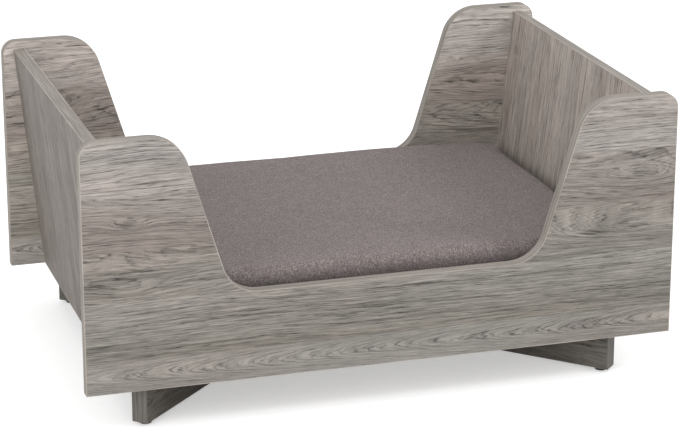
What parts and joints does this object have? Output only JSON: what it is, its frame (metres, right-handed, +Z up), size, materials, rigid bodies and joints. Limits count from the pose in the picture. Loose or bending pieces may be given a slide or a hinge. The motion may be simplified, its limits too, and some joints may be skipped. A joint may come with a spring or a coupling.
{
  "type": "dog bed with frame",
  "caption": "Raised dog bed with a shaped board frame, level entry notches, leaning end panels, diagonal corner legs and a loose zipped cushion.",
  "frame": {"origin": "on the floor, under the middle of the bed's footprint", "axes": "+X along the bed's length, +Y from the front panel to the rear panel, +Z up"},
  "size_m": [0.9, 0.61, 0.44],
  "materials": {
    "laminate_panel": "matte",
    "edge_band": "matte",
    "leg_laminate": "matte",
    "deck_board": "matte",
    "cleat_wood": "matte",
    "dowel_wood": "matte",
    "zinc_hardware": "satin",
    "black_plastic": "matte",
    "grey_cap_plastic": "matte",
    "woven_cover": "matte",
    "foam": "matte",
    "zip_tape": "matte",
    "zip_coil": "satin",
    "zip_metal": "satin"
  },
  "bodies": {
    "frame": {"front_panel": "laminate_panel", "rear_panel": "laminate_panel", "left_end_panel": "laminate_panel", "right_end_panel": "laminate_panel", "front_panel_edge_band": "edge_band", "rear_panel_edge_band": "edge_band", "left_end_edge_bands": "edge_band", "right_end_edge_bands": "edge_band", "leg_edge_bands": "edge_band", "front_left_leg": "leg_laminate", "front_right_leg": "leg_laminate", "rear_left_leg": "leg_laminate", "rear_right_leg": "leg_laminate", "deck_panel": "deck_board", "front_deck_cleat": "cleat_wood", "rear_deck_cleat": "cleat_wood", "panel_dowels": "dowel_wood", "cam_bolts": "zinc_hardware", "cam_locks": "zinc_hardware", "cleat_screws": "zinc_hardware", "deck_screws": "zinc_hardware", "leg_screws": "zinc_hardware", "glide_nails": "zinc_hardware", "leg_glides": "black_plastic", "cam_caps": "grey_cap_plastic"},
    "cushion": {"cushion_cover_upper": "woven_cover", "cushion_cover_lower": "woven_cover", "cushion_foam": "foam", "zip_tapes": "zip_tape", "zip_coil": "zip_coil"},
    "zip_slider": {"zip_slider": "zip_metal", "zip_puller": "zip_metal"}
  },
  "joints": [
    {"name": "cushion_lift", "type": "slide", "parent": "frame", "child": "cushion", "axis": [0, 0, 1], "range_m": [0, 0.32]},
    {"name": "zip_slide", "type": "slide", "parent": "cushion", "child": "zip_slider", "axis": [1, 0, 0], "range_m": [0, 0.515]}
  ]
}
